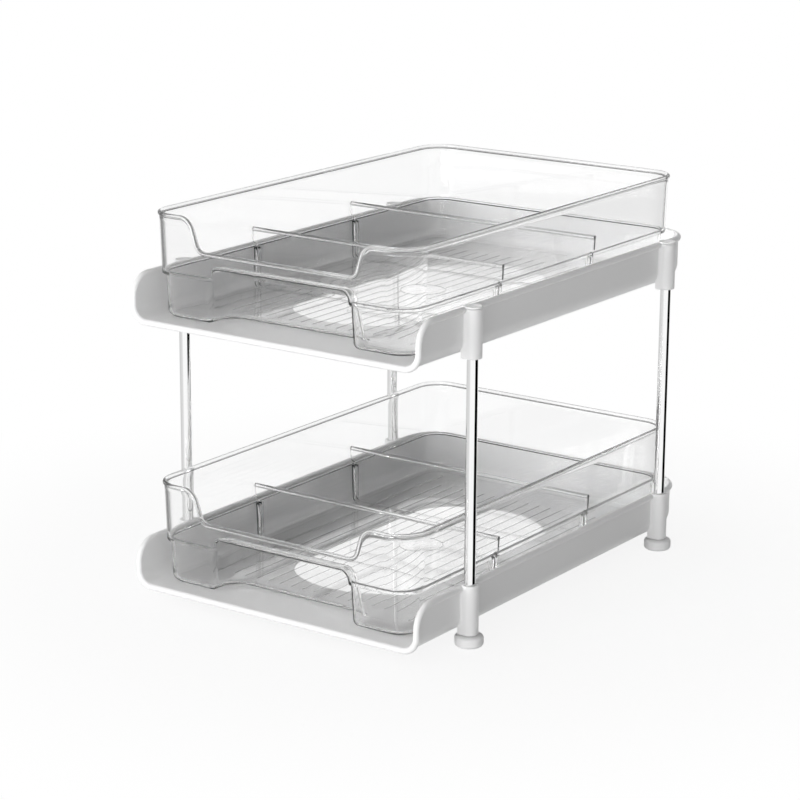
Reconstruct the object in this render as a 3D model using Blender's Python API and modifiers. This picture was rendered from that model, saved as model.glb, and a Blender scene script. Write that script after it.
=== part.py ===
"""Pull-out two-tier shelf.

Two moulded trays stand on four steel posts. A clear drawer slides out of the
open front of each tray, and two clear dividers lift out of each drawer.

Metres, +Z up. The origin is on the floor under the middle of the trays. The
drawers pull out towards -Y, and +X is the right side seen from that front.
"""
import math

import bmesh
import bpy
from mathutils import Matrix, Vector

# Fits and cuts that the whole shelf shares
SEAT_GAP = 0.0003
OVERRUN = 0.004
MERGE_DISTANCE = 0.00001

# Number of facets in round stretches
CORNER_STEPS = 6
FILLET_STEPS = 4
SWEEP_STEPS = 5
TURN_STEPS = 20
SLEEVE_STEPS = 11
EASING_STEPS = 3
BEAD_CORNER_STEPS = 5
BEAD_CORNER_EASE = 2
SOCKET_TURN_SHARE = 0.5
SEAT_TURN_SHARE = 0.25
BEAD_RESOLUTION = 2
SMOOTH_ANGLE = math.radians(40)

# Trays: outside sizes are over the thick rounded edge
TIER_PITCH = 0.196
TRAY_WIDTH = 0.248
TRAY_DEPTH = 0.368
TRAY_HEIGHT = 0.0362
TRAY_WALL = 0.003
TRAY_EDGE = 0.0047
TRAY_EDGE_INSET = 0.0002
TRAY_CORNER_RADIUS = 0.031
TRAY_FLOOR_RADIUS = 0.0138
TRAY_FRONT_RADIUS = 0.0175
WINDOW_BORDER = 0.069
WINDOW_RADIUS = 0.015

# Steel posts, and the sleeves of the trays that hold them
POST_DIAMETER = 0.008
POST_WALL = 0.0008
POST_FIT = 0.0003
POST_STANDOFF = 0.001
POST_FRONT_SETBACK = 0.0612
POST_REAR_SETBACK = 0.0456
SLEEVE_WALL = 0.0022
SLEEVE_REACH = 0.0055
SOCKET_STOP = 0.0015

# Feet and top caps, each with a plug that goes into a sleeve
FOOT_DIAMETER = 0.0204
FOOT_HEIGHT = 0.0082
FOOT_LOWER_ROUND = 0.0022
FOOT_UPPER_ROUND = 0.0012
CAP_DIAMETER = 0.0132
CAP_THICKNESS = 0.0014
CAP_ROUND = 0.0005
PLUG_DIAMETER = 0.006
PLUG_LENGTH = 0.0036
PLUG_CHAMFER = 0.0005

# Drawers: the outline is the upper body's, at the shoulder
DRAWER_SIDE_GAP = 0.0086
DRAWER_FRONT_GAP = 0.0078
DRAWER_BACK_GAP = 0.004
DRAWER_HEIGHT = 0.0753
DRAWER_WALL = 0.002
DRAWER_CORNER_RADIUS = 0.0195
DRAWER_FLOOR_RADIUS = 0.005
SHOULDER_HEIGHT = 0.031
SHOULDER_STEP = 0.0029
SHOULDER_ROUND = 0.0034
UPPER_DRAFT = 0.0013
LOWER_DRAFT = 0.0013
RIM_BEAD = 0.0034
RIM_BEAD_INSET = 0.0006

# Low front lip of a drawer, with a sweep up to the rim on each side
LIP_DROP = 0.0234
LIP_SIDE_SETBACK = 0.0495
SWEEP_LOWER_RADIUS = 0.008
SWEEP_UPPER_RADIUS = 0.011
SWEEP_SLOPE = math.radians(72)

# Finger recess in the front of a drawer, open to the front and below
RECESS_SIDE_SETBACK = 0.05025
RECESS_SIDE_DRAFT = 0.00175
RECESS_DEPTH = 0.027
RECESS_TOP_DEPTH = 0.0168
RECESS_LIP_GAP = 0.011
RECESS_ROUND = 0.006
RECESS_CORNER_RADIUS = 0.011

# Runners under a drawer, and the fine ribs round a plain disc under its floor
RUNNER_HEIGHT = 0.0008
RUNNER_WIDTH = 0.0024
RUNNER_SIDE_SETBACK = 0.023
RUNNER_FRONT_SETBACK = 0.036
RUNNER_REAR_SETBACK = 0.018
RIB_COUNT = 15
RIB_PITCH = 0.0102
RIB_WIDTH = 0.0008
RIB_HEIGHT = 0.0004
RIB_SETBACK = 0.0425
DISC_DIAMETER = 0.0325

# Dividers, and the slots that hold them
DIVIDER_THICKNESS = 0.002
DIVIDER_CLEARANCE = 0.0006
DIVIDER_TOP_HEIGHT = 0.0457
DIVIDER_BEAD = 0.0032
DIVIDER_CORNER_RADIUS = 0.006
DIVIDER_FRONT_PLACE = 0.1135
DIVIDER_REAR_PLACE = 0.2353
SLOT_RIB_WIDTH = 0.0016
SLOT_RIB_DEPTH = 0.0032

# Places that follow from the sizes above
TRAY_FRONT = -TRAY_DEPTH / 2
TRAY_BACK = TRAY_DEPTH / 2
TRAY_BASE = FOOT_HEIGHT + SEAT_GAP
TRAY_INNER = TRAY_EDGE + TRAY_EDGE_INSET
TRAY_OUTER = TRAY_INNER - TRAY_WALL
POST_X = TRAY_WIDTH / 2 + POST_STANDOFF
POST_FRONT_Y = TRAY_FRONT + POST_FRONT_SETBACK
POST_REAR_Y = TRAY_BACK - POST_REAR_SETBACK
BORE_RADIUS = POST_DIAMETER / 2 + POST_FIT
SLEEVE_RADIUS = BORE_RADIUS + SLEEVE_WALL
PLUG_SEAT_DEPTH = PLUG_LENGTH + SEAT_GAP
LOWER_SLEEVE_TOP = TRAY_HEIGHT - TRAY_EDGE_INSET
UPPER_SLEEVE_TOP = TRAY_HEIGHT - CAP_THICKNESS - SEAT_GAP
DRAWER_HALF_WIDTH = TRAY_WIDTH / 2 - TRAY_INNER - DRAWER_SIDE_GAP
DRAWER_FRONT = TRAY_FRONT + DRAWER_FRONT_GAP
DRAWER_BACK = TRAY_BACK - TRAY_INNER - DRAWER_BACK_GAP
DRAWER_BASE = TRAY_BASE + TRAY_INNER + SEAT_GAP + RUNNER_HEIGHT
RIM_LINE = DRAWER_HEIGHT - RIM_BEAD / 2
LIP_HEIGHT = RIM_LINE - LIP_DROP
LIP_HALF_LENGTH = DRAWER_HALF_WIDTH - LIP_SIDE_SETBACK
RECESS_HEIGHT = LIP_HEIGHT - RECESS_LIP_GAP
RECESS_HALF_WIDTH = DRAWER_HALF_WIDTH - RECESS_SIDE_SETBACK
RUNNER_X = DRAWER_HALF_WIDTH - RUNNER_SIDE_SETBACK

POST_PLACES = {
    "front_left": (-POST_X, POST_FRONT_Y),
    "front_right": (POST_X, POST_FRONT_Y),
    "rear_left": (-POST_X, POST_REAR_Y),
    "rear_right": (POST_X, POST_REAR_Y),
}

# Turns a flat outline so that it stands up: across the shelf, or along it
STAND_ACROSS = Matrix.Rotation(math.radians(90), 4, "X")
STAND_ALONG = Matrix(((0, 0, 1, 0), (1, 0, 0, 0), (0, 1, 0, 0), (0, 0, 0, 1)))


def clear_scene():
    """Removes every object and the collections of an earlier run."""
    for old in list(bpy.data.objects):
        bpy.data.objects.remove(old, do_unlink=True)
    for old in list(bpy.data.collections):
        bpy.data.collections.remove(old)


def new_collection(name):
    """A collection linked to the scene."""
    collection = bpy.data.collections.new(name)
    bpy.context.scene.collection.children.link(collection)
    return collection


def new_tool(name, mesh):
    """A construction body, drawn as wire and kept out of renders."""
    tool = bpy.data.objects.new(name, mesh)
    tool.hide_render = True
    tool.display_type = "WIRE"
    TOOLS.objects.link(tool)
    return tool


def final_mesh(source):
    """The mesh of an object as its modifiers leave it."""
    bpy.context.view_layer.update()
    depsgraph = bpy.context.evaluated_depsgraph_get()
    return bpy.data.meshes.new_from_object(source.evaluated_get(depsgraph))


def mesh_from_curve(name, curve, matrix=Matrix.Identity(4)):
    """A closed mesh from a curve, with its caps welded and its faces outward."""
    holder = bpy.data.objects.new(name, curve)
    TOOLS.objects.link(holder)
    mesh = final_mesh(holder)
    bpy.data.objects.remove(holder, do_unlink=True)
    work = bmesh.new()
    work.from_mesh(mesh)
    bmesh.ops.remove_doubles(work, verts=work.verts, dist=MERGE_DISTANCE)
    bmesh.ops.recalc_face_normals(work, faces=work.faces)
    work.transform(matrix)
    work.to_mesh(mesh)
    work.free()
    return mesh


def weld(mesh):
    """Merges the doubled points that Booleans leave where two edges cross."""
    work = bmesh.new()
    work.from_mesh(mesh)
    bmesh.ops.remove_doubles(work, verts=work.verts, dist=MERGE_DISTANCE)
    bmesh.ops.dissolve_degenerate(work, edges=work.edges, dist=MERGE_DISTANCE)
    work.to_mesh(mesh)
    work.free()


def arc(centre, radius, start, end, steps):
    """Points of a round stretch, angles in degrees."""
    points = []
    for step in range(steps + 1):
        angle = math.radians(start + (end - start) * step / steps)
        points.append((centre[0] + radius * math.cos(angle), centre[1] + radius * math.sin(angle)))
    return points


def rounded_plan(half_width, front, back, radius):
    """Plan outline of a box with four round corners, anticlockwise from above."""
    right = half_width - radius
    points = arc((right, back - radius), radius, 0, 90, CORNER_STEPS)
    points += arc((-right, back - radius), radius, 90, 180, CORNER_STEPS)
    points += arc((-right, front + radius), radius, 180, 270, CORNER_STEPS)
    points += arc((right, front + radius), radius, 270, 360, CORNER_STEPS)
    return points


def bead_corner(centre, radius, start):
    """A quarter turn of a bead, whose points keep clear of those of the wall below it."""
    return arc(centre, radius, start + BEAD_CORNER_EASE, start + 90 - BEAD_CORNER_EASE, BEAD_CORNER_STEPS)


def loft(name, levels):
    """A closed body through plan outlines, each given with its height."""
    work = bmesh.new()
    rings = []
    for outline, height in levels:
        rings.append([work.verts.new((x, y, height)) for x, y in outline])
    for lower, upper in zip(rings, rings[1:]):
        for index in range(len(lower)):
            nxt = (index + 1) % len(lower)
            work.faces.new((lower[index], lower[nxt], upper[nxt], upper[index]))
    work.faces.new(reversed(rings[0]))
    work.faces.new(rings[-1])
    mesh = bpy.data.meshes.new(name)
    work.to_mesh(mesh)
    work.free()
    return mesh


def plate(name, outline, thickness, matrix):
    """A flat outline with a thickness, centred on its own plane, then placed."""
    curve = bpy.data.curves.new(name, "CURVE")
    curve.dimensions = "2D"
    curve.fill_mode = "BOTH"
    curve.extrude = thickness / 2
    spline = curve.splines.new("POLY")
    spline.points.add(len(outline) - 1)
    for point, (across, up) in zip(spline.points, outline):
        point.co = (across, up, 0, 1)
    spline.use_cyclic_u = True
    return mesh_from_curve(name, curve, matrix)


def bead(name, path, diameter, closed=True):
    """A round bead along a path of 3-D points."""
    curve = bpy.data.curves.new(name, "CURVE")
    curve.dimensions = "3D"
    curve.bevel_depth = diameter / 2
    curve.bevel_resolution = BEAD_RESOLUTION
    curve.use_fill_caps = not closed
    spline = curve.splines.new("POLY")
    spline.points.add(len(path) - 1)
    for point, place in zip(spline.points, path):
        point.co = (*place, 1)
    spline.use_cyclic_u = closed
    return mesh_from_curve(name, curve)


def turned(name, profile, ring=False):
    """A body turned about Z from (radius, height) points, run down its outer side."""
    mesh = bpy.data.meshes.new(name)
    edges = [(index, index + 1) for index in range(len(profile) - 1)]
    if ring:
        edges.append((len(profile) - 1, 0))
    mesh.from_pydata([(radius, 0, height) for radius, height in profile], edges, [])
    holder = new_tool(name, mesh)
    screw = holder.modifiers.new("turn", "SCREW")
    screw.steps = TURN_STEPS
    screw.render_steps = TURN_STEPS
    screw.use_merge_vertices = True
    screw.merge_threshold = MERGE_DISTANCE
    result = final_mesh(holder)
    bpy.data.objects.remove(holder, do_unlink=True)
    return result


def block(low, high):
    """A box between two corners."""
    low = Vector(low)
    high = Vector(high)
    work = bmesh.new()
    bmesh.ops.create_cube(work, size=1)
    work.transform(Matrix.Translation((low + high) / 2) @ Matrix.Diagonal((*(high - low), 1)))
    mesh = bpy.data.meshes.new("block")
    work.to_mesh(mesh)
    work.free()
    return mesh


def gathered(name, bodies):
    """One tool from separate bodies, each a mesh and its place."""
    work = bmesh.new()
    for mesh, place in bodies:
        first = len(work.verts)
        work.from_mesh(mesh)
        work.verts.ensure_lookup_table()
        bmesh.ops.translate(work, verts=work.verts[first:], vec=place)
    mesh = bpy.data.meshes.new(name)
    work.to_mesh(mesh)
    work.free()
    return new_tool(name, mesh)


def combine(target, tool, operation):
    """Adds a Boolean of the tool to the target."""
    step = target.modifiers.new(tool.name, "BOOLEAN")
    step.operation = operation
    step.solver = "EXACT"
    step.object = tool


def finished(name, source, material, location=(0, 0, 0), parent=None):
    """The shelf's own object, from a construction body or a mesh."""
    mesh = source if isinstance(source, bpy.types.Mesh) else final_mesh(source)
    weld(mesh)
    mesh.name = name
    mesh.materials.clear()
    mesh.materials.append(material)
    mesh.shade_smooth()
    mesh.set_sharp_from_angle(angle=SMOOTH_ANGLE)
    piece = bpy.data.objects.new(name, mesh)
    piece.location = location
    piece.parent = parent
    SHELF.objects.link(piece)
    return piece


def new_material(name, colour, roughness, metallic=0.0, transmission=0.0):
    """A plain material with one shader."""
    material = bpy.data.materials.new(name)
    material.use_nodes = True
    shader = material.node_tree.nodes["Principled BSDF"]
    shader.inputs["Base Color"].default_value = (*colour, 1)
    shader.inputs["Roughness"].default_value = roughness
    shader.inputs["Metallic"].default_value = metallic
    shader.inputs["Transmission Weight"].default_value = transmission
    return material


def fillet_levels(inset, base, radius):
    """Insets and heights of a round stretch between a floor and a wall."""
    return [
        (inset + radius + across, base + radius + up)
        for across, up in arc((0, 0), -radius, 90, 0, FILLET_STEPS)
    ]


def tray_levels(inset, radius, top):
    """Outlines of a tray's outer or inner form. They run on past the open front."""
    levels = []
    front = TRAY_FRONT - TRAY_CORNER_RADIUS
    for depth, height in fillet_levels(inset, inset, radius) + [(inset, top)]:
        half_width = TRAY_WIDTH / 2 - depth
        corner = TRAY_CORNER_RADIUS - depth
        levels.append((rounded_plan(half_width, front + depth, TRAY_BACK - depth, corner), height))
    return levels


def tray_edge_path():
    """Middle line of the thick edge: round the rim, down the front and along the lip."""
    inset = TRAY_EDGE / 2
    half_width = TRAY_WIDTH / 2 - inset
    front = TRAY_FRONT + inset
    back = TRAY_BACK - inset
    top = TRAY_HEIGHT - inset
    plan_radius = TRAY_CORNER_RADIUS - inset
    front_radius = TRAY_FRONT_RADIUS - inset
    floor_radius = TRAY_FLOOR_RADIUS - inset
    rim = bead_corner((half_width - plan_radius, back - plan_radius), plan_radius, 0)
    drop = arc((front + front_radius, top - front_radius), front_radius, 90, 180, SWEEP_STEPS)
    turn = arc((half_width - floor_radius, inset + floor_radius), floor_radius, 0, -90, SWEEP_STEPS)
    right = [(x, y, top) for x, y in reversed(rim)]
    right += [(half_width, y, z) for y, z in drop]
    right += [(x, front, z) for x, z in turn]
    return right + [(-x, y, z) for x, y, z in reversed(right)]


def tray_front_tool():
    """Cuts the front open and rounds the top front corners of the side walls."""
    inset = TRAY_EDGE / 2 + TRAY_EDGE_INSET
    front = TRAY_FRONT + inset
    top = TRAY_HEIGHT - inset
    radius = TRAY_FRONT_RADIUS - inset
    far = TRAY_FRONT - TRAY_CORNER_RADIUS - OVERRUN
    outline = [(far, -OVERRUN), (front, -OVERRUN)]
    outline += arc((front + radius, top - radius), radius, 180, 90, SWEEP_STEPS)
    outline += [(front + radius, top + OVERRUN), (far, top + OVERRUN)]
    return new_tool("front_tool", plate("front_tool", outline, TRAY_WIDTH + OVERRUN, STAND_ALONG))


def window_tool():
    """Cuts the large round-cornered window in a tray's floor."""
    half_width = TRAY_WIDTH / 2 - WINDOW_BORDER
    front = TRAY_FRONT + WINDOW_BORDER
    outline = rounded_plan(half_width, front, TRAY_BACK - WINDOW_BORDER, WINDOW_RADIUS)
    levels = [(outline, -OVERRUN), (outline, TRAY_INNER + OVERRUN)]
    return new_tool("window_tool", loft("window_tool", levels))


def at_posts():
    """The four post places at a tray's base."""
    return [(x, y, 0) for x, y in POST_PLACES.values()]


def sleeve_tool(top):
    """Four post sleeves: round outside, with straight sides that run in under the tray."""
    right = arc((0, 0), SLEEVE_RADIUS, -90, 90, SLEEVE_STEPS)
    right += [(-SLEEVE_REACH, SLEEVE_RADIUS), (-SLEEVE_REACH, -SLEEVE_RADIUS)]
    left = [(-x, y) for x, y in reversed(right)]
    bodies = []
    for place in at_posts():
        outline = right if place[0] > 0 else left
        bodies.append((loft("sleeve", [(outline, 0), (outline, top)]), place))
    return gathered("sleeve_tool", bodies)


def bore_tool(name, radius, bottom, top, turn_share):
    """Four bores, one in each sleeve. A share of a facet's turn keeps their edges apart."""
    mesh = turned(name, [(0, top), (radius, top), (radius, bottom), (0, bottom)])
    mesh.transform(Matrix.Rotation(turn_share * math.tau / TURN_STEPS, 4, "Z"))
    return gathered(name, [(mesh, place) for place in at_posts()])


def build_tray(name, material, upper):
    """A tray with its thick edge, floor window and four sleeves."""
    base = TRAY_BASE + TIER_PITCH if upper else TRAY_BASE
    sleeve_top = UPPER_SLEEVE_TOP if upper else LOWER_SLEEVE_TOP
    outer_radius = TRAY_FLOOR_RADIUS - TRAY_OUTER
    inner_radius = TRAY_FLOOR_RADIUS - TRAY_INNER
    rim = TRAY_HEIGHT - TRAY_EDGE / 2
    shell = new_tool(name + "_shell", loft("shell", tray_levels(TRAY_OUTER, outer_radius, rim)))
    combine(shell, sleeve_tool(sleeve_top + SEAT_GAP if upper else sleeve_top), "UNION")
    hollow = tray_levels(TRAY_INNER, inner_radius, TRAY_HEIGHT + OVERRUN)
    combine(shell, new_tool("hollow", loft("hollow", hollow)), "DIFFERENCE")
    combine(shell, tray_front_tool(), "DIFFERENCE")
    combine(shell, window_tool(), "DIFFERENCE")
    combine(shell, new_tool("edge", bead("edge", tray_edge_path(), TRAY_EDGE)), "UNION")
    plug_bore = PLUG_DIAMETER / 2 + SEAT_GAP
    cap_bore = CAP_DIAMETER / 2 + SEAT_GAP
    if upper:
        seat = sleeve_top - PLUG_SEAT_DEPTH
        bores = [
            bore_tool("socket", BORE_RADIUS, -OVERRUN, seat - SOCKET_STOP, SOCKET_TURN_SHARE),
            bore_tool("plug_seat", plug_bore, seat, sleeve_top + OVERRUN, SOCKET_TURN_SHARE),
            bore_tool("cap_seat", cap_bore, sleeve_top, TRAY_HEIGHT + OVERRUN, SEAT_TURN_SHARE),
        ]
    else:
        stop = PLUG_SEAT_DEPTH + SOCKET_STOP
        bores = [
            bore_tool("socket", BORE_RADIUS, stop, sleeve_top + OVERRUN, SOCKET_TURN_SHARE),
            bore_tool("plug_seat", plug_bore, -OVERRUN, PLUG_SEAT_DEPTH, SOCKET_TURN_SHARE),
        ]
    for bore in bores:
        combine(shell, bore, "DIFFERENCE")
    return finished(name, shell, material, (0, 0, base))


def build_posts(material):
    """Four plain steel tubes, held between the stops of the two trays' sockets."""
    bottom = TRAY_BASE + PLUG_SEAT_DEPTH + SOCKET_STOP + SEAT_GAP
    top = TRAY_BASE + TIER_PITCH + UPPER_SLEEVE_TOP - PLUG_SEAT_DEPTH - SOCKET_STOP - SEAT_GAP
    outer = POST_DIAMETER / 2
    inner = outer - POST_WALL
    length = top - bottom
    tube = turned("post", [(outer, length), (outer, 0), (inner, 0), (inner, length)], ring=True)
    for place, (x, y) in POST_PLACES.items():
        finished("post_" + place, tube.copy(), material, (x, y, bottom))


def plug_profile(base, direction):
    """Outer side of a plug from its tip to its root, pointing up or down."""
    radius = PLUG_DIAMETER / 2
    tip = base + direction * PLUG_LENGTH
    neck = tip - direction * PLUG_CHAMFER
    return [(0, tip), (radius - PLUG_CHAMFER, tip), (radius, neck), (radius, base)]


def build_feet(material):
    """Four round feet with a plug up into the lower tray's sleeves."""
    radius = FOOT_DIAMETER / 2
    profile = plug_profile(FOOT_HEIGHT, 1)
    upper = (radius - FOOT_UPPER_ROUND, FOOT_HEIGHT - FOOT_UPPER_ROUND)
    lower = (radius - FOOT_LOWER_ROUND, FOOT_LOWER_ROUND)
    profile += arc(upper, FOOT_UPPER_ROUND, 90, 0, EASING_STEPS)
    profile += arc(lower, FOOT_LOWER_ROUND, 0, -90, EASING_STEPS)
    profile.append((0, 0))
    foot = turned("foot", profile)
    for place, (x, y) in POST_PLACES.items():
        finished("foot_" + place, foot.copy(), material, (x, y, 0))


def build_caps(material):
    """Four caps that close the upper tray's sleeves, level with the rim."""
    radius = CAP_DIAMETER / 2
    profile = [(0, CAP_THICKNESS)]
    profile += arc((radius - CAP_ROUND, CAP_THICKNESS - CAP_ROUND), CAP_ROUND, 90, 0, EASING_STEPS)
    profile.append((radius, 0))
    profile += reversed(plug_profile(0, -1))
    cap = turned("cap", profile)
    base = TRAY_BASE + TIER_PITCH + UPPER_SLEEVE_TOP + SEAT_GAP
    for place, (x, y) in POST_PLACES.items():
        finished("cap_" + place, cap.copy(), material, (x, y, base))


def wall_outset(height):
    """How far the drawer's outer wall stands out from its outline at a height."""
    if height < SHOULDER_HEIGHT:
        return -SHOULDER_STEP - LOWER_DRAFT * (1 - height / SHOULDER_HEIGHT)
    return UPPER_DRAFT * (height - SHOULDER_HEIGHT) / (RIM_LINE - SHOULDER_HEIGHT)


def drawer_outline(outset):
    """Plan outline of a drawer, grown by an outset."""
    radius = DRAWER_CORNER_RADIUS + outset
    return rounded_plan(DRAWER_HALF_WIDTH + outset, DRAWER_FRONT - outset, DRAWER_BACK + outset, radius)


def drawer_levels(wall, top):
    """Outlines of a drawer's outer form, or of its hollow where a wall is given."""
    floor_radius = DRAWER_FLOOR_RADIUS - wall
    start = wall_outset(floor_radius) - wall
    levels = []
    for inset, height in fillet_levels(0, wall, floor_radius):
        levels.append((drawer_outline(start - inset), height))
    ledge = SHOULDER_HEIGHT + wall
    levels.append((drawer_outline(-SHOULDER_STEP - wall), ledge))
    for across, up in arc((0, 0), 1, -90, 0, FILLET_STEPS)[1:]:
        height = ledge + (SHOULDER_ROUND - wall) * (1 + up)
        outset = wall_outset(height) - wall - SHOULDER_STEP * (1 - across)
        levels.append((drawer_outline(outset), height))
    levels.append((drawer_outline(wall_outset(top) - wall), top))
    return levels


def sweep_line():
    """Right half of the drawer's front edge: along the lip and up to the rim."""
    slope = math.degrees(SWEEP_SLOPE)
    both = SWEEP_LOWER_RADIUS + SWEEP_UPPER_RADIUS
    straight = (RIM_LINE - LIP_HEIGHT - both * (1 - math.cos(SWEEP_SLOPE))) / math.sin(SWEEP_SLOPE)
    end = LIP_HALF_LENGTH + both * math.sin(SWEEP_SLOPE) + straight * math.cos(SWEEP_SLOPE)
    lower = (LIP_HALF_LENGTH, LIP_HEIGHT + SWEEP_LOWER_RADIUS)
    upper = (end, RIM_LINE - SWEEP_UPPER_RADIUS)
    points = arc(lower, SWEEP_LOWER_RADIUS, -90, -90 + slope, SWEEP_STEPS)
    points += arc(upper, SWEEP_UPPER_RADIUS, 90 + slope, 90, SWEEP_STEPS)
    return points


def front_sweep_tool():
    """Cuts the front wall down to the lip between the two sweeps."""
    right = sweep_line()
    end = right[-1][0]
    outline = [(-x, z) for x, z in reversed(right)] + right
    outline += [(end, DRAWER_HEIGHT + OVERRUN), (-end, DRAWER_HEIGHT + OVERRUN)]
    thickness = DRAWER_CORNER_RADIUS
    place = Matrix.Translation((0, DRAWER_FRONT, 0)) @ STAND_ACROSS
    return new_tool("sweep_tool", plate("sweep_tool", outline, thickness, place))


def rim_path():
    """Middle line of the rim bead: along the front lip, up the sweep and round the back."""
    outset = wall_outset(RIM_LINE) - RIM_BEAD_INSET
    radius = DRAWER_CORNER_RADIUS + outset
    across = DRAWER_HALF_WIDTH + outset - radius
    front = DRAWER_FRONT + RIM_BEAD_INSET
    right = [(x, front - wall_outset(z), z) for x, z in sweep_line()]
    corners = bead_corner((across, DRAWER_FRONT - outset + radius), radius, 270)
    corners += bead_corner((across, DRAWER_BACK + outset - radius), radius, 0)
    right += [(x, y, RIM_LINE) for x, y in corners]
    return right + [(-x, y, z) for x, y, z in reversed(right)]


def recess_levels(margin):
    """Outlines of the finger recess, grown by a margin at its sides, top and back.

    It narrows upwards, so that the drawer leaves its mould, and runs on past the
    front and below.
    """
    round_over = RECESS_ROUND + margin
    shoulder = RECESS_HEIGHT - RECESS_ROUND
    corner = RECESS_CORNER_RADIUS + margin
    front = DRAWER_FRONT - OVERRUN - corner
    steps = [(0, -OVERRUN)]
    for across, up in arc((0, 0), round_over, 0, 90, FILLET_STEPS):
        steps.append((round_over - across, shoulder + up))
    levels = []
    for inset, height in steps:
        rise = height / RECESS_HEIGHT
        half_width = RECESS_HALF_WIDTH - RECESS_SIDE_DRAFT * rise + margin - inset
        depth = RECESS_DEPTH + (RECESS_TOP_DEPTH - RECESS_DEPTH) * rise + margin - inset
        levels.append((rounded_plan(half_width, front, DRAWER_FRONT + depth, corner - inset), height))
    return levels


def slot_tool():
    """Upright ribs on the side walls, in pairs that hold the dividers' edges.

    Each runs on out through the wall and the floor, because it is taken from the
    drawer's hollow.
    """
    tip = DRAWER_HALF_WIDTH - SHOULDER_STEP - DRAWER_WALL - SLOT_RIB_DEPTH
    half_slot = DIVIDER_THICKNESS / 2 + SEAT_GAP
    bodies = []
    for setback in (DIVIDER_FRONT_PLACE, DIVIDER_REAR_PLACE):
        for side in (-1, 1):
            for face in (-1, 1):
                ends = sorted((side * tip, side * (DRAWER_HALF_WIDTH + OVERRUN)))
                faces = sorted((face * half_slot, face * (half_slot + SLOT_RIB_WIDTH)))
                low = (ends[0], faces[0], -OVERRUN)
                high = (ends[1], faces[1], SHOULDER_HEIGHT)
                bodies.append((block(low, high), (0, DRAWER_FRONT + setback, 0)))
    return gathered("slot_tool", bodies)


def runner_tool():
    """Two runners under the floor, on which a drawer slides."""
    low = (-RUNNER_WIDTH / 2, DRAWER_FRONT + RUNNER_FRONT_SETBACK, -RUNNER_HEIGHT)
    high = (RUNNER_WIDTH / 2, DRAWER_BACK - RUNNER_REAR_SETBACK, DRAWER_WALL / 2)
    mesh = block(low, high)
    return gathered("runner_tool", [(mesh, (x, 0, 0)) for x in (-RUNNER_X, RUNNER_X)])


def rib_tool():
    """Fine lengthwise ribs under the floor, which stop at the ring in the middle."""
    middle = (DRAWER_FRONT + DRAWER_BACK) / 2
    front = DRAWER_FRONT + RIB_SETBACK
    back = DRAWER_BACK - RIB_SETBACK
    bodies = []
    for index in range(RIB_COUNT):
        x = (index - (RIB_COUNT - 1) / 2) * RIB_PITCH
        reach = math.sqrt(max((DISC_DIAMETER / 2) ** 2 - x ** 2, 0))
        runs = [(front, middle - reach), (middle + reach, back)] if reach else [(front, back)]
        for start, end in runs:
            low = (x - RIB_WIDTH / 2, start, -RIB_HEIGHT)
            high = (x + RIB_WIDTH / 2, end, DRAWER_WALL / 2)
            bodies.append((block(low, high), (0, 0, 0)))
    return gathered("rib_tool", bodies)


def ring_tool():
    """The fine ring round the plain disc in the middle of the floor."""
    outer = DISC_DIAMETER / 2 + RIB_WIDTH / 2
    inner = DISC_DIAMETER / 2 - RIB_WIDTH / 2
    top = DRAWER_WALL / 2
    low = -RIB_HEIGHT
    mesh = turned("ring", [(outer, top), (outer, low), (inner, low), (inner, top)], ring=True)
    return gathered("ring_tool", [(mesh, (0, (DRAWER_FRONT + DRAWER_BACK) / 2, 0))])


def build_drawer_mesh():
    """A clear drawer: stepped walls, rim bead, low lip, finger recess, slots and ribs."""
    shell = new_tool("drawer_shell", loft("drawer", drawer_levels(0, RIM_LINE)))
    hollow = new_tool("hollow", loft("hollow", drawer_levels(DRAWER_WALL, DRAWER_HEIGHT + OVERRUN)))
    combine(hollow, new_tool("recess_wall", loft("recess_wall", recess_levels(DRAWER_WALL))), "DIFFERENCE")
    combine(hollow, slot_tool(), "DIFFERENCE")
    combine(shell, hollow, "DIFFERENCE")
    combine(shell, front_sweep_tool(), "DIFFERENCE")
    combine(shell, new_tool("recess", loft("recess", recess_levels(0))), "DIFFERENCE")
    combine(shell, new_tool("rim", bead("rim", rim_path(), RIM_BEAD)), "UNION")
    combine(shell, runner_tool(), "UNION")
    combine(shell, ring_tool(), "UNION")
    combine(shell, rib_tool(), "UNION")
    return final_mesh(shell)


def divider_outline(base):
    """Right half of a divider's outline, from its foot to its top, at drawer heights."""
    margin = DRAWER_WALL + DIVIDER_CLEARANCE
    ledge = SHOULDER_HEIGHT + DRAWER_WALL + SEAT_GAP
    shoulder = SHOULDER_HEIGHT + SHOULDER_ROUND + SEAT_GAP
    low = DRAWER_HALF_WIDTH + wall_outset(base) - margin
    neck = DRAWER_HALF_WIDTH - SHOULDER_STEP - margin
    wide = DRAWER_HALF_WIDTH + wall_outset(shoulder) - margin
    top = DIVIDER_TOP_HEIGHT - DIVIDER_BEAD / 2
    wide_top = DRAWER_HALF_WIDTH + wall_outset(top) - margin
    centre = (low - DIVIDER_CORNER_RADIUS, base + DIVIDER_CORNER_RADIUS)
    outline = arc(centre, DIVIDER_CORNER_RADIUS, -90, 0, FILLET_STEPS)
    outline += [(neck, SHOULDER_HEIGHT), (neck, ledge), (wide, shoulder), (wide_top, top)]
    return outline


def build_divider_mesh():
    """A thin plate with a stepped outline and a bead along its top edge."""
    base = DRAWER_WALL + SEAT_GAP
    right = divider_outline(base)
    outline = right + [(-x, z) for x, z in reversed(right)]
    body = new_tool("divider", plate("divider", outline, DIVIDER_THICKNESS, STAND_ACROSS))
    half_width, top = right[-1]
    reach = half_width - DIVIDER_CLEARANCE
    path = [(-reach, 0, top), (reach, 0, top)]
    combine(body, new_tool("top_bead", bead("top_bead", path, DIVIDER_BEAD, closed=False)), "UNION")
    return final_mesh(body)


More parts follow.
